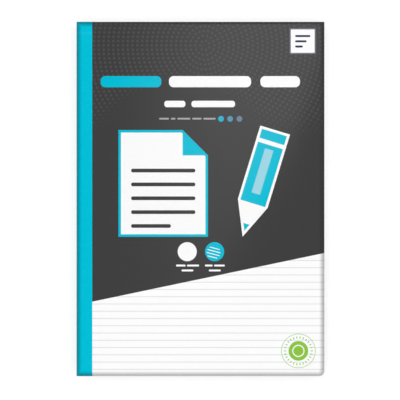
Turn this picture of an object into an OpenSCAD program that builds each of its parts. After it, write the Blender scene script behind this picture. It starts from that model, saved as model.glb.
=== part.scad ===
// Ruled writing pad, bound at the side, lying on its back with the front cover up.
// The sheets are glued along the spine between a card cover and a stiff back board,
// and a tape wraps the spine from front to back.
// X runs from the spine to the fore edge, Y from the tail to the head and Z from back to front.
// The origin is the middle of the footprint, on the surface that the pad lies on.

/* [Pad] */
// Width over the spine tape
pad_w = 147; // [105:1:210]
// Height from tail to head
pad_h = 210; // [148:1:297]
// Radius of the worn corner where the tail meets the fore edge
worn_corner_r = 3; // [0.5:0.5:8]

/* [Sheets] */
// Number of ruled sheets in the block
sheet_count = 100; // [50:10:200]
// Thickness of one sheet
sheet_t = 0.08; // [0.06:0.01:0.12]
// Radius at which the top sheet rolls down along its cut edges
roll_r = 2.8; // [1.5:0.1:4]
// Slope of that roll at the cut edge, in degrees
roll_angle = 60; // [20:5:75]

/* [Front cover] */
// Thickness of the cover card
cover_t = 0.25; // [0.15:0.05:0.5]
// Slit at the crease, between the glued strip and the part that opens
crease_gap = 0.1; // [0.05:0.05:0.2]

/* [Back board] */
// Thickness of the back board
board_t = 0.9; // [0.6:0.1:2]

/* [Glue] */
// Thickness of the glue over the cut spine
spine_glue_t = 0.4; // [0.2:0.05:0.8]
// Thickness of the glue between the top sheet and the cover's strip
side_glue_t = 0.1; // [0.05:0.05:0.2]
// Distance from the crease at which that side glue stops
side_glue_setback = 1.5; // [0.5:0.5:4]

/* [Spine tape] */
// Thickness of the tape
tape_t = 0.15; // [0.1:0.05:0.3]
// Width of the tape on the front
tape_front_w = 9.5; // [6:0.5:20]
// Width of the tape on the back
tape_back_w = 9.5; // [6:0.5:20]
// Outer radius of the tape's fold along the front of the spine
fold_r = 2.2; // [1.2:0.1:3]
// Depth to which the tape is pressed into the back board
tape_bite = 0.05; // [0.02:0.01:0.08]

/* [Hidden] */
$fn = 96;

// Levels from the underside up
board_bottom = tape_t - tape_bite;
board_top = board_bottom + board_t;
sheets_top = board_top + sheet_count * sheet_t;

// Rise of each layer above the top sheet
cover_under_rise = side_glue_t;
cover_face_rise = cover_under_rise + cover_t;
tape_face_rise = cover_face_rise + tape_t;
pad_top = sheets_top + tape_face_rise;

// Places across the pad, from the spine to the fore edge
spine_face = -pad_w / 2;
stack_spine = spine_face + tape_t + spine_glue_t;
crease = spine_face + tape_front_w;
tape_back_end = spine_face + tape_back_w;
fore_edge = pad_w / 2;

// Centre of the worn corner
corner_x = fore_edge - worn_corner_r;
corner_y = worn_corner_r - pad_h / 2;

// Roll along the fore edge, head and tail
roll_w = roll_r * sin(roll_angle);
roll_level = sheets_top - roll_r;

// Folds of the tape along the spine, with every layer under the front one bent to the same centre
front_fold_x = spine_face + fold_r;
front_fold_level = pad_top - fold_r;
back_fold_r = tape_t + spine_glue_t;

// How far a cutter runs past what it cuts
overrun = 1;

// Outline of one rolled edge, from inside the line where the roll starts to the given reach past it
module rolled_edge(rise, reach) {
    lap = roll_r + rise;
    intersection() {
        union() {
            translate([0, roll_level])
                circle(roll_r + rise);
            translate([-lap, 0])
                square([lap + reach, roll_level]);
        }
        translate([-lap, 0])
            square([lap + reach, sheets_top + rise]);
    }
}

// Outline across the pad at a rise above the top sheet: folded at the spine, rolled at the fore edge
module outline_across(rise, past_edge) {
    layer_fold_r = fold_r - tape_face_rise + rise;
    roll_start = fore_edge - roll_w;
    translate([front_fold_x, 0])
        square([roll_start - front_fold_x, sheets_top + rise]);
    translate([front_fold_x - layer_fold_r, 0])
        square([2 * layer_fold_r, front_fold_level]);
    translate([front_fold_x, front_fold_level])
        circle(layer_fold_r);
    translate([roll_start, 0])
        rolled_edge(rise, roll_w + past_edge);
}

// Outline along the pad at the same rise: rolled at the head and at the tail
module outline_along(rise, past_edge) {
    roll_start = pad_h / 2 - roll_w;
    translate([-roll_start, 0])
        square([2 * roll_start, sheets_top + rise]);
    for (end = [0, 1])
        mirror([end, 0])
            translate([roll_start, 0])
                rolled_edge(rise, roll_w + past_edge);
}

// Square around the worn corner, out past every edge there
module corner_square(past_edge) {
    side = worn_corner_r + past_edge + overrun;
    translate([corner_x, corner_y - side, -overrun])
        cube([side, side, pad_top + 2 * overrun]);
}

// The same roll carried round the worn corner, as a quarter turn about its centre
module rolled_corner(rise, past_edge) {
    roll_start = worn_corner_r - roll_w;
    translate([corner_x, corner_y, 0])
        rotate([0, 0, -90])
            rotate_extrude(angle = 90)
                intersection() {
                    union() {
                        if (roll_start > 0)
                            square([roll_start, sheets_top + rise]);
                        translate([roll_start, 0])
                            rolled_edge(rise, roll_w + past_edge);
                    }
                    square([worn_corner_r + past_edge, sheets_top + rise]);
                }
}

// Everything under one layer's face, down to the surface that the pad lies on
module under_layer(rise, past_edge = 0) {
    difference() {
        intersection() {
            rotate([90, 0, 0])
                linear_extrude(pad_h + 2 * past_edge, center = true)
                    outline_across(rise, past_edge);
            rotate([90, 0, 90])
                linear_extrude(pad_w + 2 * past_edge, center = true)
                    outline_along(rise, past_edge);
        }
        corner_square(past_edge);
    }
    rolled_corner(rise, past_edge);
}

// Space between two places across the pad and two levels
module band(from_x, to_x, from_z, to_z) {
    translate([from_x, -pad_h / 2 - overrun, from_z])
        cube([to_x - from_x, pad_h + 2 * overrun, to_z - from_z]);
}

// Footprint of the cut sheets, with the worn corner
module trimmed(from_z, to_z) {
    translate([0, 0, from_z])
        linear_extrude(to_z - from_z) {
            translate([stack_spine, -pad_h / 2])
                square([corner_x - stack_spine, pad_h]);
            translate([stack_spine, corner_y])
                square([fore_edge - stack_spine, pad_h - worn_corner_r]);
            translate([corner_x, corner_y])
                circle(worn_corner_r);
        }
}

// Quarter round along the back of the spine that an outer radius leaves outside the fold
module outside_back_fold(radius) {
    level = tape_t + spine_glue_t;
    difference() {
        band(stack_spine - radius - overrun, stack_spine, level - radius - overrun, level);
        translate([stack_spine, 0, level])
            rotate([90, 0, 0])
                cylinder(h = pad_h + 4 * overrun, r = radius, center = true);
    }
}

// Card of the cover from the cut spine to the fore edge, between two places across the pad
module cover_card(from_x, to_x) {
    difference() {
        intersection() {
            under_layer(cover_face_rise);
            trimmed(board_top, pad_top);
            band(from_x, to_x, board_top, pad_top);
        }
        under_layer(cover_under_rise, overrun);
    }
}

module back_board() {
    color([0.64, 0.60, 0.54])
        difference() {
            trimmed(board_bottom, board_top);
            band(stack_spine - overrun, tape_back_end, board_bottom - overrun, tape_t);
        }
}

module page_block() {
    color([0.97, 0.97, 0.95])
        intersection() {
            under_layer(0);
            trimmed(board_top, sheets_top);
        }
}

module spine_glue() {
    glue_face = spine_face + tape_t;
    color([0.90, 0.88, 0.80])
        difference() {
            union() {
                intersection() {
                    under_layer(cover_face_rise);
                    band(glue_face, stack_spine, tape_t, pad_top);
                }
                intersection() {
                    under_layer(cover_under_rise);
                    band(glue_face, crease - side_glue_setback, board_top, pad_top);
                }
            }
            intersection() {
                under_layer(0, overrun);
                band(stack_spine, crease, 0, pad_top);
            }
            outside_back_fold(spine_glue_t);
        }
}

module cover_glued_strip() {
    color([0.25, 0.25, 0.25])
        cover_card(stack_spine, crease);
}

module front_cover() {
    color([0.25, 0.25, 0.25])
        cover_card(crease + crease_gap, fore_edge);
}

module spine_tape() {
    color([0.00, 0.74, 0.84])
        difference() {
            under_layer(tape_face_rise);
            difference() {
                under_layer(cover_face_rise, overrun);
                band(spine_face - overrun, tape_back_end, -overrun, tape_t);
                outside_back_fold(spine_glue_t);
            }
            outside_back_fold(back_fold_r);
            band(crease, fore_edge + overrun, tape_t, pad_top + overrun);
            band(tape_back_end, fore_edge + overrun, -overrun, pad_top - fold_r);
        }
}

back_board();
page_block();
spine_glue();
cover_glued_strip();
front_cover();
spine_tape();
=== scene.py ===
import math
import random

import bmesh
import bpy
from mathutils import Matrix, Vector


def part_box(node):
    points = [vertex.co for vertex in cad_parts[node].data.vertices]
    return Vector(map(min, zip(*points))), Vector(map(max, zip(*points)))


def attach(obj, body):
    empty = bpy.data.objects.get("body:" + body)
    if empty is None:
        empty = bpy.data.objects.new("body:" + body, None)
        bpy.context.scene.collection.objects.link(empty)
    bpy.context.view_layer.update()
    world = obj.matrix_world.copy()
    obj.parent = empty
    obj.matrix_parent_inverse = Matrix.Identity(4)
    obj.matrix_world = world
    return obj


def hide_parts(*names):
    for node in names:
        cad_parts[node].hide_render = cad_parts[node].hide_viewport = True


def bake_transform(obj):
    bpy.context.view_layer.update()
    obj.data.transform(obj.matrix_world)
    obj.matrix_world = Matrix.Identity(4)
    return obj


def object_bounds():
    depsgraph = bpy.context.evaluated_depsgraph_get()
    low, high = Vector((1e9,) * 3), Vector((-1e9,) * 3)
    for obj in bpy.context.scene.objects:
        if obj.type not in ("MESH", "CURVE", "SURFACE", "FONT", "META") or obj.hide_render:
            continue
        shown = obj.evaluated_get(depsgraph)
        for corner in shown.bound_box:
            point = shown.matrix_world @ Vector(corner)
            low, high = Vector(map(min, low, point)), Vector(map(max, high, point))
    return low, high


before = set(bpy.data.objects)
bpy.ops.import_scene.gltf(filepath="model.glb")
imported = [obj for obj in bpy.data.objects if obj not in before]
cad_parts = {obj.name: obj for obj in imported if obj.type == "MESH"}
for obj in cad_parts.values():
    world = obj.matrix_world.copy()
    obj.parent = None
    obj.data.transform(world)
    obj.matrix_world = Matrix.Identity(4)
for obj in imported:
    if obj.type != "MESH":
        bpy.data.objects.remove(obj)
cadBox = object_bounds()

mm = 0.001
near = 0.01 * mm  # how closely edges and faces are picked by their place
facingDown = -0.9  # a face whose normal points lower than this lies underneath

# places in the frame that every piece is built from
tapeLow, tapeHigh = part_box("spine_tape")
pagesLow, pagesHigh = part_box("page_block")
boardLow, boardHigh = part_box("back_board")
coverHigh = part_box("front_cover")[1]

spineX, creaseX = tapeLow.x, tapeHigh.x
stackX, foreX = pagesLow.x, pagesHigh.x
headY, tailY = pagesHigh.y, pagesLow.y
sheetsTop, coverTop, tapeTop = pagesHigh.z, coverHigh.z, tapeHigh.z
padWidth, padHeight = foreX - spineX, headY - tailY

# how every layer rolls down at the cut edges and folds at the spine
edgeRoll = {
    "sheetRadius": 2.8 * mm,  # at the top sheet
    "slope": math.radians(60),
    "wornCorner": 3.0 * mm, "cornerSteps": 8,
}
spineFold = {"tapeRadius": 2.2 * mm, "backRadius": 0.55 * mm}  # at the tape's face
rollReach = edgeRoll["sheetRadius"] * math.sin(edgeRoll["slope"])
foldX = spineX + spineFold["tapeRadius"]


# modelling helpers

def clearSelection():
    if bpy.context.mode != "OBJECT":
        bpy.ops.object.mode_set(mode="OBJECT")
    bpy.ops.object.select_all(action="DESELECT")


def activate(piece):
    clearSelection()
    piece.select_set(True)
    bpy.context.view_layer.objects.active = piece


def startPlate(name, left, right, tail, head, level):  # a flat rectangle to model from
    clearSelection()
    bpy.ops.mesh.primitive_plane_add(size=1, location=((left + right) / 2, (tail + head) / 2, level))
    piece = bpy.context.object
    piece.name = name
    piece.data.name = name
    piece.scale = (right - left, head - tail, 1)
    bpy.ops.object.transform_apply(location=True, rotation=False, scale=True)
    bpy.ops.object.mode_set(mode="EDIT")
    bpy.ops.mesh.select_mode(type="FACE")
    bpy.ops.mesh.select_all(action="SELECT")
    return piece


def startLayer(name, outline):
    return startPlate(name, outline["left"], outline["right"], -outline["head"], outline["head"],
                      outline["level"])


def pick(piece, kind, wanted):  # selects vertices, edges or faces by a test of each
    bpy.ops.mesh.select_mode(type=kind)
    bpy.ops.mesh.select_all(action="DESELECT")
    shape = bmesh.from_edit_mesh(piece.data)
    shape.normal_update()
    for item in {"VERT": shape.verts, "EDGE": shape.edges, "FACE": shape.faces}[kind]:
        item.select_set(wanted(item))
    bmesh.update_edit_mesh(piece.data)


def extrude(x, y, z):
    bpy.ops.mesh.extrude_region_move(TRANSFORM_OT_translate={"value": (x, y, z)})


def bisect(across, **options):  # cuts the whole mesh at a place across the pad
    bpy.ops.mesh.select_all(action="SELECT")
    bpy.ops.mesh.bisect(plane_co=(across, 0, 0), plane_no=(1, 0, 0), **options)


def roundCorner(piece):  # rounds the worn corner of a plate
    pick(piece, "VERT", lambda spot: spot.co.x > 0 > spot.co.y)
    bpy.ops.mesh.bevel(affect="VERTICES", offset=edgeRoll["wornCorner"], segments=edgeRoll["cornerSteps"],
                       profile=0.5)
    bpy.ops.mesh.select_mode(type="FACE")
    bpy.ops.mesh.select_all(action="SELECT")


def rollRadius(top):  # radius of the roll of a layer's face
    return edgeRoll["sheetRadius"] + top - sheetsTop


def edgeDrop(top):  # drop of a layer's face at the cut edge
    roll = rollRadius(top)
    return roll - math.sqrt(roll ** 2 - rollReach ** 2)


def outlineAt(top, drop, fromX=spineX, toX=foreX):  # of a layer's face, at a drop below its flat top
    roll = rollRadius(top)
    fold = spineFold["tapeRadius"] - (tapeTop - top)
    rollOut = math.sqrt(max(roll ** 2 - (roll - drop) ** 2, 0)) - rollReach
    foldOut = math.sqrt(max(fold ** 2 - (fold - min(drop, fold)) ** 2, 0))
    return {"left": max(foldX - foldOut, fromX), "right": min(foreX + rollOut, toX),
            "head": headY + rollOut, "level": top - drop}


def stepOutline(piece, now, then):  # extrudes the selected face from one outline to the next
    growX = (then["right"] - then["left"]) / (now["right"] - now["left"])
    growY = then["head"] / now["head"]
    slide = (then["right"] + then["left"] - now["right"] - now["left"]) / 2
    middle = ((then["right"] + then["left"]) / 2, 0, then["level"])
    extrude(slide, 0, then["level"] - now["level"])
    bpy.ops.transform.resize(value=(growX, growY, 1), center_override=middle)
    # the worn corner's arc keeps its centre and loses what the outline steps in
    shape = bmesh.from_edit_mesh(piece.data)
    arc = [spot for spot in shape.verts if spot.select and spot.co.x > 0 > spot.co.y]
    arc.sort(key=lambda spot: spot.co.x)
    radius = edgeRoll["wornCorner"] - (foreX - then["right"])
    for step, spot in enumerate(arc):
        turn = math.radians(90) * step / (len(arc) - 1)
        spot.co.x = foreX - edgeRoll["wornCorner"] + radius * math.sin(turn)
        spot.co.y = tailY + edgeRoll["wornCorner"] - radius * math.cos(turn)
    bmesh.update_edit_mesh(piece.data)


def rollOver(piece, now, top, steps, **reach):  # takes the selected face over the roll, up to the flat
    roll = rollRadius(top)
    edgeTurn = math.asin(rollReach / roll)
    for step in range(1, steps + 1):
        turn = edgeTurn * (steps - step) / steps
        then = outlineAt(top, roll * (1 - math.cos(turn)), **reach)
        stepOutline(piece, now, then)
        now = then


def thicken(piece, thick, bareSlot):
    activate(piece)
    bpy.ops.object.modifier_add(type="SOLIDIFY")
    wall = piece.modifiers[-1]
    wall.thickness = thick
    wall.offset = -1
    wall.use_even_offset = True
    wall.material_offset = bareSlot
    wall.material_offset_rim = bareSlot
    bpy.ops.object.modifier_apply(modifier=wall.name)


def smooth(piece, angle):
    activate(piece)
    bpy.ops.object.shade_smooth_by_angle(angle=math.radians(angle))


# node helpers

def ink(red, green, blue):  # a printed colour, from screen values to linear
    def linear(value):
        value = value / 255
        return value / 12.92 if value <= 0.04045 else ((value + 0.055) / 1.055) ** 2.4
    return (linear(red), linear(green), linear(blue), 1.0)


def bareMaterial(name):
    made = bpy.data.materials.new(name)
    made.use_nodes = True
    tree = made.node_tree
    tree.nodes.clear()
    return made, tree, tree.nodes.new("ShaderNodeOutputMaterial").inputs["Surface"]


def newMaterial(name):
    made, tree, surface = bareMaterial(name)
    shader = tree.nodes.new("ShaderNodeBsdfPrincipled")
    tree.links.new(shader.outputs["BSDF"], surface)
    return made, tree, shader


def feed(tree, socket, value):
    if isinstance(value, bpy.types.NodeSocket):
        tree.links.new(value, socket)
    else:
        socket.default_value = value


def mathNode(tree, operation, *values):
    node = tree.nodes.new("ShaderNodeMath")
    node.operation = operation
    for socket, value in zip(node.inputs, values):
        feed(tree, socket, value)
    return node.outputs[0]


def vectorNode(tree, operation, *values):
    node = tree.nodes.new("ShaderNodeVectorMath")
    node.operation = operation
    for socket, value in zip(node.inputs, values):
        feed(tree, socket, value)
    single = operation in ("LENGTH", "DISTANCE", "DOT_PRODUCT")
    return node.outputs["Value" if single else "Vector"]


def ramp(tree, value, fromLow, fromHigh, toLow=0.0, toHigh=1.0, soft=False):
    node = tree.nodes.new("ShaderNodeMapRange")
    node.interpolation_type = "SMOOTHSTEP" if soft else "LINEAR"
    for socket, number in zip(node.inputs, (value, fromLow, fromHigh, toLow, toHigh)):
        feed(tree, socket, number)
    return node.outputs["Result"]


def mixInk(tree, share, under, over):  # by number, because several sockets of this node share a name
    node = tree.nodes.new("ShaderNodeMix")
    node.data_type = "RGBA"
    feed(tree, node.inputs[0], share)
    feed(tree, node.inputs[6], under)
    feed(tree, node.inputs[7], over)
    return node.outputs[2]


def join(tree, x, y, z=0.0):
    node = tree.nodes.new("ShaderNodeCombineXYZ")
    for socket, value in zip(node.inputs, (x, y, z)):
        feed(tree, socket, value)
    return node.outputs[0]


def parts(tree, vector):
    node = tree.nodes.new("ShaderNodeSeparateXYZ")
    feed(tree, node.inputs[0], vector)
    return node.outputs[0], node.outputs[1], node.outputs[2]


def scaleInk(tree, colour, amount):
    return vectorNode(tree, "MULTIPLY", colour, join(tree, amount, amount, amount))


def objectPlace(tree, scale=(mm, mm, mm)):  # object coordinates in units of the given lengths
    node = tree.nodes.new("ShaderNodeTexCoord")
    return vectorNode(tree, "MULTIPLY", node.outputs["Object"], tuple(1 / length for length in scale))


def noise(tree, place, scale=1.0, detail=2.0, rough=0.5):
    node = tree.nodes.new("ShaderNodeTexNoise")
    feed(tree, node.inputs["Vector"], place)
    node.inputs["Scale"].default_value = scale
    node.inputs["Detail"].default_value = detail
    node.inputs["Roughness"].default_value = rough
    return node.outputs["Fac"]


noiseSpan = (0.3, 0.7)  # most of a noise lies between these
wideSpan = (0.25, 0.75)


def vary(tree, value, low=0.0, high=1.0, span=noiseSpan):  # a noise spread out between two levels
    return ramp(tree, value, *span, low, high)


def bump(tree, height, strength, distance):
    node = tree.nodes.new("ShaderNodeBump")
    node.inputs["Strength"].default_value = strength
    node.inputs["Distance"].default_value = distance
    feed(tree, node.inputs["Height"], height)
    return node.outputs["Normal"]


# shapes of the print, in millimetres from the middle of the pad

inkBlur = 0.06  # how softly the ink's edges end


def inside(tree, distance, edge):
    return ramp(tree, distance, edge + inkBlur, edge - inkBlur)


def disc(tree, place, centre, radius):
    return inside(tree, vectorNode(tree, "DISTANCE", place, (*centre, 0)), radius)


def ring(tree, place, centre, radius, width):
    away = vectorNode(tree, "DISTANCE", place, (*centre, 0))
    return inside(tree, mathNode(tree, "ABSOLUTE", mathNode(tree, "SUBTRACT", away, radius)), width / 2)


def bar(tree, place, left, right, low, high, corner):  # a rectangle with round corners
    centre = ((left + right) / 2, (low + high) / 2, 0)
    core = ((right - left) / 2 - corner, (high - low) / 2 - corner, 0)
    folded = vectorNode(tree, "ABSOLUTE", vectorNode(tree, "SUBTRACT", place, centre))
    past = vectorNode(tree, "MAXIMUM", vectorNode(tree, "SUBTRACT", folded, core), (0, 0, 0))
    return inside(tree, vectorNode(tree, "LENGTH", past), corner)


def sides(tree, place, planes):  # how far outside the worst of some straight sides
    worst = None
    for (alongX, alongY), reach in planes:
        along = vectorNode(tree, "DOT_PRODUCT", place, (alongX, alongY, 0))
        past = mathNode(tree, "SUBTRACT", along, reach)
        worst = past if worst is None else mathNode(tree, "MAXIMUM", worst, past)
    return worst


inks = {
    "white": ink(251, 251, 251),
    "fieldWhite": ink(254, 254, 254),
    "charcoal": ink(64, 64, 64),
    "teal": ink(1, 189, 214),
    "rule": ink(227, 228, 229),
    "paleGrey": ink(168, 170, 172),
    "lilacGrey": ink(112, 109, 124),
    "navy": ink(32, 42, 82),
    "green": ink(140, 198, 63),
    "dotTint": ink(78, 78, 78),
}

coverPrint = {
    "panel": {"height": -47.375, "slope": 0.2096},  # lower edge of the dark panel, at the middle
    "rules": {"lowest": -100.83, "pitch": 4.297, "width": 0.52},  # feint rules on the white field
    "halftone": {
        "centre": (2.62, 90.87), "pitch": 2.8536, "dotsMore": 7, "dotRadius": 0.72, "dotSoft": 0.3,
        "hollowCentre": (-12.2, 18.3), "hollowFrom": 48.0, "hollowTo": 62.0,  # bare round the page
        "fadeFrom": 33.0, "fadeTo": 56.0,  # and lower down
    },
    "page": {
        "left": -48.5, "right": 4.5, "low": -22.4, "high": 40.8, "turnedCorner": 15.0, "outline": 1.5,
        "rules": 5, "firstRule": 24.0, "rulePitch": 8.2, "ruleHeight": 2.2, "ruleCorner": 1.0,
        "margin": 7.5, "lastMargin": 22.0,
    },
    "pencil": {
        "middle": (34.6, 9.2), "lean": math.radians(-17), "halfWidth": 9.2, "reach": 33.0, "outline": 1.5,
        "halfPoint": math.radians(24), "lead": 8.0,
        "bandFrom": 9.5, "bandTo": 7.0,  # from the top
        "flatHalf": 2.6, "flatAbovePoint": 6.0, "flatBelowTop": 12.0,  # the pale flat along its shaft
        "flatCorner": 0.4, "flatShine": 0.35,
    },
    # rows of bars: the left end, right end and ink of each
    "rows": [
        {"middle": 69.4, "height": 6.6,
         "bars": [(-59.0, -23.1, "teal"), (-18.6, 30.0, "white"), (35.5, 58.9, "white")]},
        {"middle": 56.2, "height": 3.8,
         "bars": [(-21.3, -8.9, "white"), (-5.3, 20.5, "white")]},
        {"middle": 47.5, "height": 1.0,
         "bars": [(-24.4, -18.6, "paleGrey"), (-17.4, -14.8, "paleGrey"), (-13.6, -6.0, "paleGrey"),
                  (-4.8, 0.6, "paleGrey"), (1.8, 9.0, "paleGrey")]},
        {"middle": -39.4, "height": 1.1,
         "bars": [(-14.4, -8.8, "white"), (-7.9, -0.8, "white"), (2.7, 7.2, "white"),
                  (8.1, 14.4, "white")]},
        {"middle": -42.3, "height": 1.1,
         "bars": [(-11.1, -4.2, "white"), (5.0, 12.0, "white")]},
    ],
    "barCorner": 0.42,  # of a bar's height
    "dots": {
        "middle": 47.4, "radius": 1.71,
        "row": [(12.2, ink(38, 176, 206)), (17.6, ink(84, 150, 178)), (23.1, ink(110, 128, 152))],
    },
    "discs": {
        "plain": (-7.8, -31.2), "striped": (8.4, -31.2), "radius": 5.62,
        "stripedPart": (7.8, -31.7), "stripedRadius": 4.0,
        "stripesAcross": (0.26, 0.97, 0), "stripePitch": 1.8, "stripeFrom": 0.62, "stripeFull": 0.74,
    },
    "plate": {
        "left": 53.5, "right": 67.6, "low": 86.5, "high": 100.3, "corner": 0.4,
        "line": 0.75, "lineCorner": 0.5,
        "rules": 3, "firstRule": 3.9, "rulePitch": 3.1, "ruleHeight": 1.2, "ruleCorner": 0.5,
        "margin": 2.6, "shorter": 2.2,
    },
    "greenDisc": {
        "centre": (58.0, -89.9), "radius": 5.8,
        "innerRing": 3.3, "innerWidth": 0.7, "outerRing": 10.0, "outerWidth": 0.32,
        "dashRing": 7.9, "dashLength": 1.3, "dashes": 26, "dashFull": 0.13, "dashEnd": 0.17,
    },
}


def paintField(tree, place):  # a white field with feint rules, and a dark panel above its slanting edge
    rules, panel = coverPrint["rules"], coverPrint["panel"]
    acrossX, alongY, _ = parts(tree, place)
    fromLowest = mathNode(tree, "SUBTRACT", alongY, rules["lowest"])
    offRule = mathNode(tree, "PINGPONG", fromLowest, rules["pitch"] / 2)
    field = mixInk(tree, inside(tree, offRule, rules["width"] / 2), inks["fieldWhite"], inks["rule"])
    below = mathNode(tree, "SUBTRACT", panel["height"], alongY)
    below = mathNode(tree, "MULTIPLY_ADD", acrossX, panel["slope"], below)
    return mixInk(tree, inside(tree, below, 0), field, paintHalftone(tree, place, inks["charcoal"]))


def paintHalftone(tree, place, paint):  # pale dots on rings, a few more on each
    tone = coverPrint["halftone"]
    fromCentre = vectorNode(tree, "SUBTRACT", place, (*tone["centre"], 0))
    away = vectorNode(tree, "LENGTH", fromCentre)
    ringNumber = mathNode(tree, "ROUND", mathNode(tree, "DIVIDE", away, tone["pitch"]))
    count = mathNode(tree, "MAXIMUM", mathNode(tree, "MULTIPLY", ringNumber, tone["dotsMore"]), 1.0)
    # how far along and across its ring the nearest dot is
    acrossX, alongY, _ = parts(tree, fromCentre)
    turn = mathNode(tree, "ARCTAN2", alongY, mathNode(tree, "MULTIPLY", acrossX, -1.0))
    onRing = mathNode(tree, "MULTIPLY", mathNode(tree, "MULTIPLY", turn, 1 / math.tau), count)
    offDot = mathNode(tree, "SUBTRACT", onRing, mathNode(tree, "ROUND", onRing))
    dotStep = mathNode(tree, "DIVIDE", mathNode(tree, "MULTIPLY", away, math.tau), count)
    alongRing = mathNode(tree, "MULTIPLY", offDot, dotStep)
    acrossRing = mathNode(tree, "SUBTRACT", away, mathNode(tree, "MULTIPLY", ringNumber, tone["pitch"]))
    gap = vectorNode(tree, "LENGTH", join(tree, alongRing, acrossRing))
    dotEdge = (tone["dotRadius"] + tone["dotSoft"], tone["dotRadius"] - tone["dotSoft"])
    dot = ramp(tree, gap, *dotEdge, soft=True)
    # the dots fade out towards the page and lower down
    fromHollow = vectorNode(tree, "DISTANCE", place, (*tone["hollowCentre"], 0))
    shown = mathNode(tree, "MULTIPLY",
                     ramp(tree, fromHollow, tone["hollowFrom"], tone["hollowTo"], soft=True),
                     ramp(tree, parts(tree, place)[1], tone["fadeFrom"], tone["fadeTo"], soft=True))
    return mixInk(tree, mathNode(tree, "MULTIPLY", dot, shown), paint, inks["dotTint"])


def paintPage(tree, place, paint):  # a white page with a turned corner, outlined in teal
    page = coverPrint["page"]
    left, right, low, high = page["left"], page["right"], page["low"], page["high"]
    halfX, halfY = (right - left) / 2, (high - low) / 2
    here = vectorNode(tree, "SUBTRACT", place, ((left + right) / 2, (low + high) / 2, 0))
    diagonal = math.sqrt(0.5)
    cut = ((diagonal, diagonal), (halfX + halfY - page["turnedCorner"]) * diagonal)
    past = sides(tree, here, [((1, 0), halfX), ((-1, 0), halfX), ((0, 1), halfY), ((0, -1), halfY), cut])
    paint = mixInk(tree, inside(tree, past, 0), paint, inks["teal"])
    paint = mixInk(tree, inside(tree, past, -page["outline"]), paint, inks["white"])
    flap = sides(tree, here, [((-1, 0), page["turnedCorner"] - halfX),
                              ((0, -1), page["turnedCorner"] - halfY), cut])
    paint = mixInk(tree, inside(tree, flap, 0), paint, inks["teal"])
    for step in range(page["rules"]):
        level = high - page["firstRule"] - page["rulePitch"] * step
        margin = page["lastMargin"] if step == page["rules"] - 1 else page["margin"]
        rule = bar(tree, place, left + page["margin"], right - margin, level - page["ruleHeight"] / 2,
                   level + page["ruleHeight"] / 2, page["ruleCorner"])
        paint = mixInk(tree, rule, paint, inks["charcoal"])
    return paint


def paintPencil(tree, place, paint):  # a teal pencil, outlined in white
    pencil = coverPrint["pencil"]
    half, reach, point = pencil["halfWidth"], pencil["reach"], pencil["halfPoint"]
    node = tree.nodes.new("ShaderNodeVectorRotate")
    node.rotation_type = "Z_AXIS"
    feed(tree, node.inputs["Vector"], vectorNode(tree, "SUBTRACT", place, (*pencil["middle"], 0)))
    node.inputs["Angle"].default_value = -pencil["lean"]
    # the same on both sides of its middle line
    acrossX, alongY, _ = parts(tree, node.outputs[0])
    here = join(tree, mathNode(tree, "ABSOLUTE", acrossX), alongY)

    taper = ((math.cos(point), -math.sin(point)), reach * math.sin(point))
    past = sides(tree, here, [((1, 0), half), ((0, 1), reach), taper])
    paint = mixInk(tree, inside(tree, past, 0), paint, inks["white"])
    filled = inside(tree, past, -pencil["outline"])
    paint = mixInk(tree, filled, paint, inks["teal"])

    pointTop = half / math.tan(point) - reach
    wood = sides(tree, here, [((0, 1), pointTop), ((0, -1), reach - pencil["lead"])])
    paint = mixInk(tree, mathNode(tree, "MULTIPLY", inside(tree, wood, 0), filled), paint, inks["white"])
    flat = bar(tree, here, -pencil["flatHalf"], pencil["flatHalf"], pointTop + pencil["flatAbovePoint"],
               reach - pencil["flatBelowTop"], pencil["flatCorner"])
    paint = mixInk(tree, ramp(tree, flat, 0, 1, 0, pencil["flatShine"]), paint, inks["white"])
    band = sides(tree, here, [((0, 1), reach - pencil["bandTo"]), ((0, -1), pencil["bandFrom"] - reach)])
    return mixInk(tree, mathNode(tree, "MULTIPLY", inside(tree, band, 0), filled), paint, inks["white"])


def paintRows(tree, place, paint):
    for row in coverPrint["rows"]:
        low, high = row["middle"] - row["height"] / 2, row["middle"] + row["height"] / 2
        for left, right, colour in row["bars"]:
            shape = bar(tree, place, left, right, low, high, row["height"] * coverPrint["barCorner"])
            paint = mixInk(tree, shape, paint, inks[colour])
    return paint


def paintDiscs(tree, place, paint):  # a plain disc, a striped one and a row of dots
    discs, dots = coverPrint["discs"], coverPrint["dots"]
    paint = mixInk(tree, disc(tree, place, discs["plain"], discs["radius"]), paint, inks["white"])
    paint = mixInk(tree, disc(tree, place, discs["striped"], discs["radius"]), paint, inks["teal"])
    across = vectorNode(tree, "DOT_PRODUCT", place, discs["stripesAcross"])
    wave = mathNode(tree, "PINGPONG", across, discs["stripePitch"] / 2)
    stripes = mathNode(tree, "MULTIPLY", ramp(tree, wave, discs["stripeFrom"], discs["stripeFull"]),
                       disc(tree, place, discs["stripedPart"], discs["stripedRadius"]))
    paint = mixInk(tree, stripes, paint, inks["white"])
    for acrossX, colour in dots["row"]:
        paint = mixInk(tree, disc(tree, place, (acrossX, dots["middle"]), dots["radius"]), paint, colour)
    return paint


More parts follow.
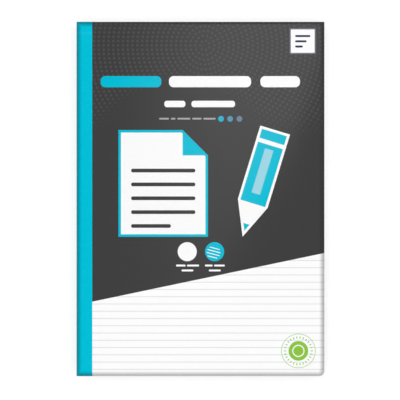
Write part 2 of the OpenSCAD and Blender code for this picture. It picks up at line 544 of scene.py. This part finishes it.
def paintPlate(tree, place, paint):  # a white plate with a thin line round it and three short rules
    plate = coverPrint["plate"]
    left, right, low, high, line = (plate[key] for key in ("left", "right", "low", "high", "line"))
    shape = bar(tree, place, left - line, right + line, low - line, high + line, plate["lineCorner"])
    paint = mixInk(tree, shape, paint, inks["lilacGrey"])
    shape = bar(tree, place, left, right, low, high, plate["corner"])
    paint = mixInk(tree, shape, paint, inks["white"])
    for step in range(plate["rules"]):
        level = high - plate["firstRule"] - plate["rulePitch"] * step
        rule = bar(tree, place, left + plate["margin"], right - plate["margin"] - plate["shorter"] * step,
                   level - plate["ruleHeight"] / 2, level + plate["ruleHeight"] / 2, plate["ruleCorner"])
        paint = mixInk(tree, rule, paint, inks["navy"])
    return paint


def paintGreenDisc(tree, place, paint):  # a green disc in a ring of dashes
    green = coverPrint["greenDisc"]
    centre = green["centre"]
    outer = ring(tree, place, centre, green["outerRing"], green["outerWidth"])
    paint = mixInk(tree, outer, paint, inks["green"])
    paint = mixInk(tree, disc(tree, place, centre, green["radius"]), paint, inks["green"])
    inner = ring(tree, place, centre, green["innerRing"], green["innerWidth"])
    paint = mixInk(tree, inner, paint, inks["white"])
    acrossX, alongY, _ = parts(tree, vectorNode(tree, "SUBTRACT", place, (*centre, 0)))
    turn = mathNode(tree, "ARCTAN2", alongY, acrossX)
    turn = mathNode(tree, "MULTIPLY", turn, green["dashes"] / math.tau)
    dash = ramp(tree, mathNode(tree, "PINGPONG", turn, 0.5), green["dashEnd"], green["dashFull"])
    dashRing = ring(tree, place, centre, green["dashRing"], green["dashLength"])
    return mixInk(tree, mathNode(tree, "MULTIPLY", dashRing, dash), paint, inks["green"])


# the front cover: one card from the cut spine to the fore edge, cut finely across the crease
coverCard = {
    "thick": 0.25 * mm,
    "rollSteps": 10,
    "bendStart": -0.15 * mm, "bendEnd": 1.35 * mm, "bendCuts": 14,  # from the crease
    "openCuts": 6,  # across the part that opens
    "smoothAngle": 35,
    # finish of the printed face, by millimetres from the cut edges
    # painted shade: the printed colour darkens towards the rolled edges, where the roll turns from the
    # light
    "paintedShadeFrom": 0.75, "paintedShadeTo": 3.5, "paintedShadeTone": 0.52,
    "dulledFrom": 0.6, "dulledTo": 3.0, "dulled": 0.42,  # the gloss is rubbed off there
    "headNarrower": 1.75, "cornerWider": 1.0,
    "gloss": (0.13, 0.16), "specular": 0.5,
    "mottle": (0.988, 1.01),  # unevenness of the ink
    "wave": 18.0,  # height of the card's slow waves, against its grain
    # finish of the bare card
    "bareInks": (ink(240, 239, 234), ink(249, 248, 245)), "bareRoughness": 0.75, "bareSpecular": 0.25,
}


def printMap(tree):
    node = tree.nodes.new("ShaderNodeUVMap")
    node.uv_map = "printMap"
    return node.outputs[0]


def toCutEdge(tree, place, width, height):  # millimetres to the nearest edge, counted faster at the head
    acrossX, alongY, _ = parts(tree, place)
    toSide = mathNode(tree, "SUBTRACT", width / 2, mathNode(tree, "ABSOLUTE", acrossX))
    toTail = mathNode(tree, "ADD", alongY, height / 2)
    toHead = mathNode(tree, "SUBTRACT", height / 2, alongY)
    toHead = mathNode(tree, "MULTIPLY", toHead, coverCard["headNarrower"])
    # round the worn corner too
    radius = edgeRoll["wornCorner"] / mm + coverCard["cornerWider"]
    inset = (radius - width / 2, radius - height / 2, 0)
    fromCorner = vectorNode(tree, "MULTIPLY_ADD", place, (1, -1, 0), inset)
    pastCorner = vectorNode(tree, "LENGTH", vectorNode(tree, "MAXIMUM", (0, 0, 0), fromCorner))
    toCorner = mathNode(tree, "SUBTRACT", radius, pastCorner)
    toEnd = mathNode(tree, "MINIMUM", toTail, toHead)
    return mathNode(tree, "MINIMUM", toCorner, mathNode(tree, "MINIMUM", toSide, toEnd))


def printedFace():
    made, tree, shader = newMaterial("printedCoverFace")
    card = coverCard
    width, height = padWidth / mm, padHeight / mm
    corner = (-width / 2, -height / 2, 0)
    place = vectorNode(tree, "MULTIPLY_ADD", printMap(tree), (width, height, 0), corner)

    paint = paintField(tree, place)
    for painter in (paintPage, paintPencil, paintRows, paintDiscs, paintPlate, paintGreenDisc):
        paint = painter(tree, place, paint)

    # painted shade, darker towards the rolled edges, and a little unevenness in the ink
    toEdge = toCutEdge(tree, place, width, height)
    tone = ramp(tree, toEdge, card["paintedShadeFrom"], card["paintedShadeTo"], card["paintedShadeTone"], 1.0, soft=True)
    cloud = noise(tree, place, scale=0.5, detail=4.0, rough=0.6)
    mottle = vary(tree, cloud, *card["mottle"], span=wideSpan)
    feed(tree, shader.inputs["Base Color"], scaleInk(tree, paint, mathNode(tree, "MULTIPLY", tone, mottle)))

    gloss = vary(tree, noise(tree, place, scale=0.3, detail=3.0), *card["gloss"])
    dulled = ramp(tree, toEdge, card["dulledFrom"], card["dulledTo"], card["dulled"], 0.0, soft=True)
    feed(tree, shader.inputs["Roughness"], mathNode(tree, "ADD", gloss, dulled))
    shader.inputs["Specular IOR Level"].default_value = card["specular"]
    grain = noise(tree, place, scale=3.2, detail=3.0, rough=0.6)
    waves = mathNode(tree, "MULTIPLY", noise(tree, place, scale=0.035, detail=1.0), card["wave"])
    relief = mathNode(tree, "ADD", grain, waves)
    feed(tree, shader.inputs["Normal"], bump(tree, relief, strength=0.1, distance=0.02 * mm))
    return made


def bareCard():
    made, tree, shader = newMaterial("bareCoverCard")
    place = vectorNode(tree, "MULTIPLY", printMap(tree), (padWidth / mm, padHeight / mm, 0))
    fleck = noise(tree, place, scale=1.6, detail=5.0, rough=0.65)
    feed(tree, shader.inputs["Base Color"], mixInk(tree, vary(tree, fleck), *coverCard["bareInks"]))
    shader.inputs["Roughness"].default_value = coverCard["bareRoughness"]
    shader.inputs["Specular IOR Level"].default_value = coverCard["bareSpecular"]
    feed(tree, shader.inputs["Normal"], bump(tree, fleck, strength=0.25, distance=0.03 * mm))
    return made


def makeCover():
    outline = outlineAt(coverTop, edgeDrop(coverTop))
    piece = startLayer("front_cover_card", outline)
    roundCorner(piece)
    rollOver(piece, outline, coverTop, coverCard["rollSteps"])
    # the underside comes from the card's thickness
    pick(piece, "FACE", lambda face: face.normal.z < facingDown)
    bpy.ops.mesh.delete(type="FACE")
    bisect(stackX, clear_inner=True)
    bendStart, bendEnd = creaseX + coverCard["bendStart"], creaseX + coverCard["bendEnd"]
    bendCuts, openCuts = coverCard["bendCuts"], coverCard["openCuts"]
    for cut in range(bendCuts + 1):
        bisect(bendStart + (bendEnd - bendStart) * cut / bendCuts)
    for cut in range(1, openCuts):
        bisect(creaseX + (foreX - creaseX) * cut / openCuts)
    bpy.ops.object.mode_set(mode="OBJECT")

    layer = piece.data.uv_layers.new(name="printMap")
    for loop in piece.data.loops:
        spot = piece.data.vertices[loop.vertex_index].co
        layer.data[loop.index].uv = ((spot.x - spineX) / padWidth, (spot.y - tailY) / padHeight)
    piece.data.materials.append(printedFace())
    piece.data.materials.append(bareCard())
    thicken(piece, coverCard["thick"], 1)
    smooth(piece, coverCard["smoothAngle"])
    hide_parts("front_cover", "cover_glued_strip")
    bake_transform(piece)


# the sheets: one block whose walls step in and out sheet by sheet, with a ruled top sheet
sheetBlock = {
    "count": 100,
    "groove": 0.045 * mm, "grooveShare": 0.28,  # the gap over a sheet: depth, and share of the height
    "jog": 0.05 * mm,  # how far sheets lie out of line
    "strayJog": 0.16 * mm, "strayShare": 0.12,  # a few lie further out
    "rollSteps": 8,
    "topSlope": 0.3,  # a face of the roll that points up more than this shows ruled paper
    "smoothAngle": 30,
    "seed": 5,
    # finish of the cut edges: streaks of single sheets and of bundles
    "edgeInk": ink(249, 249, 246), "edgeRoughness": 0.85, "specular": 0.2,
    "lineLength": (20 * mm, 20 * mm, 0.09 * mm), "lineShade": (0.88, 1.02),
    "bundleLength": (50 * mm, 50 * mm, 0.7 * mm), "bundleShade": (0.95, 1.03),
    # finish of the top sheet, its rules in millimetres
    "paperInks": (ink(245, 245, 241), ink(251, 251, 249)), "paperRoughness": 0.82,
    "ruleInk": ink(172, 194, 212), "rulePitch": 8.0, "ruleWidth": 0.28, "firstBelowHead": 24.0,
    "bareFrom": 0.6, "ruledFrom": 0.4,  # above the first rule
}


def paperEdgeMaterial():
    made, tree, shader = newMaterial("sheetEdges")
    line = noise(tree, objectPlace(tree, sheetBlock["lineLength"]), detail=2.0, rough=0.7)
    bundle = noise(tree, objectPlace(tree, sheetBlock["bundleLength"]), detail=2.0)
    shade = mathNode(tree, "MULTIPLY", vary(tree, line, *sheetBlock["lineShade"]),
                     vary(tree, bundle, *sheetBlock["bundleShade"]))
    feed(tree, shader.inputs["Base Color"], scaleInk(tree, sheetBlock["edgeInk"][:3], shade))
    shader.inputs["Roughness"].default_value = sheetBlock["edgeRoughness"]
    shader.inputs["Specular IOR Level"].default_value = sheetBlock["specular"]
    return made


def ruledSheetMaterial():
    made, tree, shader = newMaterial("ruledSheet")
    place = objectPlace(tree)
    alongY = parts(tree, place)[1]
    first = headY / mm - sheetBlock["firstBelowHead"]
    fromFirst = mathNode(tree, "SUBTRACT", alongY, first)
    offRule = mathNode(tree, "PINGPONG", fromFirst, sheetBlock["rulePitch"] / 2)
    rule = inside(tree, offRule, sheetBlock["ruleWidth"] / 2)
    below = ramp(tree, alongY, first + sheetBlock["bareFrom"], first + sheetBlock["ruledFrom"])
    pulp = noise(tree, place, scale=0.9, detail=5.0, rough=0.65)
    paper = mixInk(tree, vary(tree, pulp), *sheetBlock["paperInks"])
    ruled = mixInk(tree, mathNode(tree, "MULTIPLY", rule, below), paper, sheetBlock["ruleInk"])
    feed(tree, shader.inputs["Base Color"], ruled)
    shader.inputs["Roughness"].default_value = sheetBlock["paperRoughness"]
    shader.inputs["Specular IOR Level"].default_value = sheetBlock["specular"]
    feed(tree, shader.inputs["Normal"], bump(tree, pulp, strength=0.2, distance=0.02 * mm))
    return made


def makeSheets():
    random.seed(sheetBlock["seed"])
    last = sheetBlock["count"] - 1
    drop = edgeDrop(sheetsTop)
    pitch = (sheetsTop - drop - boardHigh.z) / sheetBlock["count"]
    gap = pitch * sheetBlock["grooveShare"]
    grooveIn = (1 - 2 * sheetBlock["groove"] / padWidth, 1 - 2 * sheetBlock["groove"] / padHeight)
    middle = ((stackX + foreX) / 2, 0, 0)
    piece = startPlate("page_block_sheets", stackX, foreX, tailY, headY, boardHigh.z)
    roundCorner(piece)

    lastShift = (0.0, 0.0)
    for sheet in range(sheetBlock["count"]):
        stray = random.random() < sheetBlock["strayShare"]
        jog = sheetBlock["strayJog"] if stray else sheetBlock["jog"]
        shift = (random.uniform(-1, 1) * jog - jog / 2, random.uniform(-1, 1) * jog)
        if sheet == last:
            shift = (0.0, 0.0)
        # up the sheet's cut edge, then in to the gap over it and back out for the next
        bpy.ops.transform.translate(value=(shift[0] - lastShift[0], shift[1] - lastShift[1], 0))
        extrude(0, 0, pitch - gap)
        if sheet < last:
            extrude(0, 0, gap / 2)
            bpy.ops.transform.resize(value=(*grooveIn, 1), center_override=middle)
            extrude(0, 0, gap / 2)
            bpy.ops.transform.resize(value=(1 / grooveIn[0], 1 / grooveIn[1], 1), center_override=middle)
        lastShift = shift

    # the top sheet rolls over to its flat face
    outline = {"left": stackX, "right": foreX, "head": headY, "level": sheetsTop - drop - gap}
    rollOver(piece, outline, sheetsTop, sheetBlock["rollSteps"], fromX=stackX)
    bpy.ops.object.mode_set(mode="OBJECT")
    piece.data.materials.append(paperEdgeMaterial())
    piece.data.materials.append(ruledSheetMaterial())
    for face in piece.data.polygons:
        onTop = face.center.z > sheetsTop - drop and face.normal.z > sheetBlock["topSlope"]
        face.material_index = 1 if onTop else 0
    smooth(piece, sheetBlock["smoothAngle"])
    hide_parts("page_block")
    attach(piece, "pad")


# the spine tape: front flap, spine and back flap of one strip
bindingTape = {
    "thick": 0.14 * mm,
    "rollSteps": 8, "foldSteps": 5, "backFoldSteps": 5,
    "smoothAngle": 35,
    # finish, by millimetres in the frame
    "frontFrom": 5.0, "frontFull": 7.5,  # levels between which the front flap's painted shade and painted highlight start
    "paintedShadeFrom": 0.4, "paintedShadeTo": 3.85, "paintedShadeTone": 0.46,  # painted shade, darker along the fold and at both ends
    "highlightHeight": 98.2, "highlightHalf": 1.1, "highlightCore": 0.2,  # a faint painted highlight across the front, a pale streak of reflected light
    "highlightInk": ink(63, 228, 250), "highlightShare": 0.12,
    "cloud": (0.98, 1.015), "gloss": (0.26, 0.29), "specular": 0.08,
    "longThreads": (1.0, 0.25, 1.0), "crossThreads": (0.25, 1.0, 0.25),  # along and across the strip
}


def tapeMaterial():
    made, tree, shader = newMaterial("tealBindingTape")
    tape = bindingTape
    place = objectPlace(tree)
    acrossX, alongY, upZ = parts(tree, place)
    onFront = ramp(tree, upZ, tape["frontFrom"], tape["frontFull"])

    # painted shade: the teal darkens towards the spine fold and the ends, on the front flap only
    toSpine = mathNode(tree, "SUBTRACT", acrossX, spineX / mm)
    toEnd = mathNode(tree, "SUBTRACT", headY / mm, mathNode(tree, "ABSOLUTE", alongY))
    tone = ramp(tree, mathNode(tree, "MINIMUM", toSpine, toEnd), tape["paintedShadeFrom"], tape["paintedShadeTo"],
                tape["paintedShadeTone"], 1.0, soft=True)
    tone = mathNode(tree, "ADD", mathNode(tree, "MULTIPLY", tone, onFront),
                    mathNode(tree, "SUBTRACT", 1.0, onFront))
    # painted highlight: a pale streak of reflected light across the front flap
    offHighlight = mathNode(tree, "ABSOLUTE", mathNode(tree, "SUBTRACT", alongY, tape["highlightHeight"]))
    paintedHighlight = ramp(tree, offHighlight, tape["highlightHalf"], tape["highlightCore"], 0.0, tape["highlightShare"],
                  soft=True)
    paint = mixInk(tree, mathNode(tree, "MULTIPLY", paintedHighlight, onFront), inks["teal"], tape["highlightInk"])
    cloud = noise(tree, place, scale=0.35, detail=4.0, rough=0.6)
    cloud = vary(tree, cloud, *tape["cloud"], span=wideSpan)
    feed(tree, shader.inputs["Base Color"], scaleInk(tree, paint, mathNode(tree, "MULTIPLY", tone, cloud)))

    gloss = vary(tree, noise(tree, place, scale=0.25, detail=3.0), *tape["gloss"])
    feed(tree, shader.inputs["Roughness"], gloss)
    shader.inputs["Specular IOR Level"].default_value = tape["specular"]
    threads = [noise(tree, vectorNode(tree, "MULTIPLY", place, stretch), scale=6.0, rough=0.6)
               for stretch in (tape["longThreads"], tape["crossThreads"])]
    weave = mathNode(tree, "ADD", *threads)
    feed(tree, shader.inputs["Normal"], bump(tree, weave, strength=0.14, distance=0.03 * mm))
    return made


def makeTape():
    outline = outlineAt(tapeTop, edgeDrop(tapeTop), toX=creaseX)
    piece = startLayer("spine_tape_strip", outline)
    rollOver(piece, outline, tapeTop, bindingTape["rollSteps"], toX=creaseX)

    def openSide(face):  # underneath and at the crease
        return face.normal.z < facingDown or face.calc_center_median().x > creaseX - near

    pick(piece, "FACE", openSide)
    bpy.ops.mesh.delete(type="FACE")

    # round the front fold, down the spine, round the back fold and along the back
    radius, backRadius = spineFold["tapeRadius"], spineFold["backRadius"]
    foldSteps, backSteps = bindingTape["foldSteps"], bindingTape["backFoldSteps"]
    atX, atZ = outline["left"], outline["level"]
    foldLevel = tapeTop - radius
    backX, backLevel = spineX + backRadius, tapeLow.z + backRadius
    startTurn = math.asin((atZ - foldLevel) / radius)
    path = []
    for step in range(1, foldSteps + 1):
        turn = startTurn * (1 - step / foldSteps)
        path.append((foldX - radius * math.cos(turn), foldLevel + radius * math.sin(turn)))
    for step in range(backSteps + 1):
        turn = math.radians(90) * step / backSteps
        path.append((backX - backRadius * math.cos(turn), backLevel - backRadius * math.sin(turn)))
    path.append((creaseX, tapeLow.z))
    pick(piece, "EDGE", lambda edge: all(math.dist(spot.co.xz, (atX, atZ)) < near for spot in edge.verts))
    for nextX, nextZ in path:
        extrude(nextX - atX, 0, nextZ - atZ)
        atX, atZ = nextX, nextZ
    bpy.ops.object.mode_set(mode="OBJECT")
    piece.data.materials.append(tapeMaterial())
    thicken(piece, bindingTape["thick"], 0)
    smooth(piece, bindingTape["smoothAngle"])
    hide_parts("spine_tape")
    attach(piece, "pad")


# the back board: flecked grey board with softened edges, pressed in under the tape
greyBoard = {
    "edgeSoft": 0.1 * mm, "edgeSteps": 2,
    "pressedIn": 0.05 * mm, "pressedStep": 0.02 * mm,  # a sharp step at the tape's edge
    "smoothAngle": 35,
    "pulpInks": (ink(150, 143, 131), ink(178, 171, 158)),
    # specks: where in the noise they start and are full, and how much they tint
    "darkInk": ink(104, 99, 92), "darkSpecks": (0.64, 0.72, 0.0, 0.55),
    "paleInk": ink(206, 201, 190), "paleSpecks": (0.34, 0.27, 0.0, 0.5),
    "speckStretch": (1.0, 0.45, 1.0),  # longer from tail to head
    "roughness": 0.9, "specular": 0.15,
}


def greyBoardMaterial():
    made, tree, shader = newMaterial("greyBoard")
    place = objectPlace(tree)
    pulp = noise(tree, place, scale=0.55, detail=6.0, rough=0.7)
    stretched = vectorNode(tree, "MULTIPLY", place, greyBoard["speckStretch"])
    speck = noise(tree, stretched, scale=2.4, detail=3.0, rough=0.6)
    paint = mixInk(tree, vary(tree, pulp), *greyBoard["pulpInks"])
    paint = mixInk(tree, ramp(tree, speck, *greyBoard["darkSpecks"]), paint, greyBoard["darkInk"])
    paint = mixInk(tree, ramp(tree, speck, *greyBoard["paleSpecks"]), paint, greyBoard["paleInk"])
    feed(tree, shader.inputs["Base Color"], paint)
    shader.inputs["Roughness"].default_value = greyBoard["roughness"]
    shader.inputs["Specular IOR Level"].default_value = greyBoard["specular"]
    feed(tree, shader.inputs["Normal"], bump(tree, pulp, strength=0.35, distance=0.06 * mm))
    return made


def makeBoard():
    low, high = boardLow, boardHigh
    piece = startPlate("grey_back_board", low.x, high.x, low.y, high.y, low.z)
    roundCorner(piece)
    extrude(0, 0, high.z - low.z)
    pick(piece, "EDGE", lambda edge: abs(edge.verts[0].co.z - edge.verts[1].co.z) < near)
    bpy.ops.mesh.bevel(affect="EDGES", offset=greyBoard["edgeSoft"], segments=greyBoard["edgeSteps"])
    bpy.ops.mesh.select_all(action="SELECT")
    bpy.ops.mesh.normals_make_consistent(inside=False)
    bisect(creaseX)
    bisect(creaseX + greyBoard["pressedStep"])
    underside = low.z + greyBoard["edgeSoft"] - near
    pick(piece, "VERT", lambda spot: spot.co.x < creaseX + near and spot.co.z < underside)
    bpy.ops.transform.translate(value=(0, 0, greyBoard["pressedIn"]))
    bpy.ops.object.mode_set(mode="OBJECT")
    piece.data.materials.append(greyBoardMaterial())
    smooth(piece, greyBoard["smoothAngle"])
    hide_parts("back_board")
    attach(piece, "pad")


# the glue keeps its own solid and gets a finish
paddingGlue = {"inks": (ink(222, 218, 203), ink(240, 237, 226)), "roughness": 0.38}


def finishGlue():
    made, tree, shader = newMaterial("paddingGlue")
    cloud = noise(tree, objectPlace(tree), scale=0.8, detail=4.0, rough=0.6)
    feed(tree, shader.inputs["Base Color"], mixInk(tree, vary(tree, cloud), *paddingGlue["inks"]))
    shader.inputs["Roughness"].default_value = paddingGlue["roughness"]
    feed(tree, shader.inputs["Normal"], bump(tree, cloud, strength=0.3, distance=0.05 * mm))
    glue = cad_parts["spine_glue"]
    glue.data.materials.clear()
    glue.data.materials.append(made)


# studio: a white floor and soft lamps round the camera's axis
studio = {
    "floorSize": 24.0, "floorDrop": 0.02 * mm,
    "floorGrey": 0.8, "floorWhite": 1.04,  # as light meets it, and as it is seen
    "shadowDepth": 0.3,  # how much of the floor's white the object's shadow can take
    "lamps": 4, "lampTurn": math.radians(45), "lampTilt": math.radians(42),
    "lampSoft": math.radians(36), "lampStrength": 0.99,
    "ambient": 0.11,
    "skyDim": 0.45, "skyWhite": 0.2,  # heights at which the sky in the gloss is dim and white
}

# a dim card overhead that the glossy cover mirrors as a slanting sheen
# its places are where the camera sees them on the cover, in millimetres from the middle
sheenCard = {
    "height": 350 * mm,
    "left": -80.0, "right": 180.0, "low": -100.0, "high": 260.0,
    "rampStart": -48.8, "rampEnd": 8.6,  # grows brighter from left to right
    "edgeAt": (61.3, 51.5), "edgeSlope": 0.493, "edgeSoft": 8.0,  # and ends at a slanting edge
    "brightLevel": 52.0, "bright": 0.82, "dimLevel": -40.0, "dim": 0.34,  # and fades downwards
}

# camera straight above, with the pad where the photograph has it
viewFrom = {
    "lens": 100.0, "sensor": 36.0,
    "pixels": 400, "pixelsPerMm": 1.6899, "padCentre": (200.4, 198.95),  # in the photograph's frame
}
cameraAway = viewFrom["lens"] / viewFrom["sensor"] * viewFrom["pixels"] / viewFrom["pixelsPerMm"] * mm


def rayShares(tree):  # camera rays, and those that look for the background in gloss or glass
    node = tree.nodes.new("ShaderNodeLightPath")
    others = mathNode(tree, "MAXIMUM", node.outputs["Is Glossy Ray"], node.outputs["Is Transmission Ray"])
    return node.outputs["Is Camera Ray"], others


def makeFloor():
    clearSelection()
    level = cadBox[0].z - studio["floorDrop"]
    bpy.ops.mesh.primitive_plane_add(size=studio["floorSize"], location=(0, 0, level))
    floor = bpy.context.object
    floor.name = "floor"
    made, tree, surface = bareMaterial("whiteFloor")
    matte = tree.nodes.new("ShaderNodeBsdfDiffuse")
    glow = tree.nodes.new("ShaderNodeEmission")
    seen = mathNode(tree, "MAXIMUM", *rayShares(tree))
    grey = ramp(tree, seen, 0.0, 1.0, studio["floorGrey"], studio["shadowDepth"])
    feed(tree, matte.inputs["Color"], join(tree, grey, grey, grey))
    feed(tree, glow.inputs["Strength"],
         mathNode(tree, "MULTIPLY", seen, studio["floorWhite"] - studio["shadowDepth"]))
    both = tree.nodes.new("ShaderNodeAddShader")
    tree.links.new(matte.outputs[0], both.inputs[0])
    tree.links.new(glow.outputs[0], both.inputs[1])
    tree.links.new(both.outputs[0], surface)
    floor.data.materials.append(made)


def makeWorld():
    world = bpy.data.worlds.new("studioWorld")
    bpy.context.scene.world = world
    world.use_nodes = True
    tree = world.node_tree
    tree.nodes.clear()
    output = tree.nodes.new("ShaderNodeOutputWorld")
    light = tree.nodes.new("ShaderNodeBackground")
    camera, others = rayShares(tree)
    way = tree.nodes.new("ShaderNodeTexCoord")
    level = ramp(tree, parts(tree, way.outputs["Generated"])[2], studio["skyDim"], studio["skyWhite"])
    white = mathNode(tree, "MAXIMUM", camera, mathNode(tree, "MULTIPLY", others, level))
    plain = ramp(tree, mathNode(tree, "MAXIMUM", camera, others), 0.0, 1.0, studio["ambient"], 0.0)
    feed(tree, light.inputs["Strength"], mathNode(tree, "ADD", white, plain))
    tree.links.new(light.outputs[0], output.inputs["Surface"])


def makeLamps():
    for number in range(studio["lamps"]):
        turn = studio["lampTurn"] + math.tau * number / studio["lamps"]
        bpy.ops.object.light_add(type="SUN", rotation=(studio["lampTilt"], 0, turn))
        lamp = bpy.context.object
        lamp.name = "softLamp%d" % number
        lamp.data.energy = studio["lampStrength"]
        lamp.data.angle = studio["lampSoft"]
        lamp.visible_glossy = False  # only the card overhead shows in the gloss


def makeSheen():
    card = sheenCard
    reach = (1 + card["height"] / cameraAway) * mm  # the card's size against its reflection's
    piece = startPlate("sheenCard", card["left"] * reach, card["right"] * reach, card["low"] * reach,
                       card["high"] * reach, coverTop + card["height"])
    bpy.ops.object.mode_set(mode="OBJECT")
    made, tree, surface = bareMaterial("sheenGlow")
    glow = tree.nodes.new("ShaderNodeEmission")
    acrossX, alongY, _ = parts(tree, objectPlace(tree, (reach, reach, reach)))
    overEdge = mathNode(tree, "SUBTRACT", alongY, card["edgeAt"][1])
    pastEdge = mathNode(tree, "SUBTRACT", acrossX, card["edgeAt"][0])
    pastEdge = mathNode(tree, "MULTIPLY_ADD", overEdge, -card["edgeSlope"], pastEdge)
    strength = ramp(tree, alongY, card["dimLevel"], card["brightLevel"], card["dim"], card["bright"])
    for share in (ramp(tree, acrossX, card["rampStart"], card["rampEnd"]),
                  ramp(tree, pastEdge, card["edgeSoft"], -card["edgeSoft"], soft=True)):
        strength = mathNode(tree, "MULTIPLY", strength, share)
    feed(tree, glow.inputs["Strength"], strength)
    tree.links.new(glow.outputs[0], surface)
    piece.data.materials.append(made)
    piece.visible_camera = False
    piece.visible_diffuse = False
    piece.visible_shadow = False


def makeCamera():
    offX = (viewFrom["pixels"] / 2 - viewFrom["padCentre"][0]) / viewFrom["pixelsPerMm"] * mm
    offY = (viewFrom["padCentre"][1] - viewFrom["pixels"] / 2) / viewFrom["pixelsPerMm"] * mm
    bpy.ops.object.camera_add(location=(offX, offY, coverTop + cameraAway), rotation=(0, 0, 0))
    camera = bpy.context.object
    camera.data.lens = viewFrom["lens"]
    camera.data.sensor_width = viewFrom["sensor"]
    bpy.context.scene.camera = camera


clearSelection()
makeCover()
print("front cover modelled")
makeSheets()
print("sheets modelled")
makeTape()
print("spine tape modelled")
makeBoard()
print("back board modelled")
finishGlue()
print("glue finished")
makeFloor()
makeWorld()
makeLamps()
makeSheen()
makeCamera()
bpy.context.scene.view_settings.view_transform = "Standard"
clearSelection()
print("studio ready")
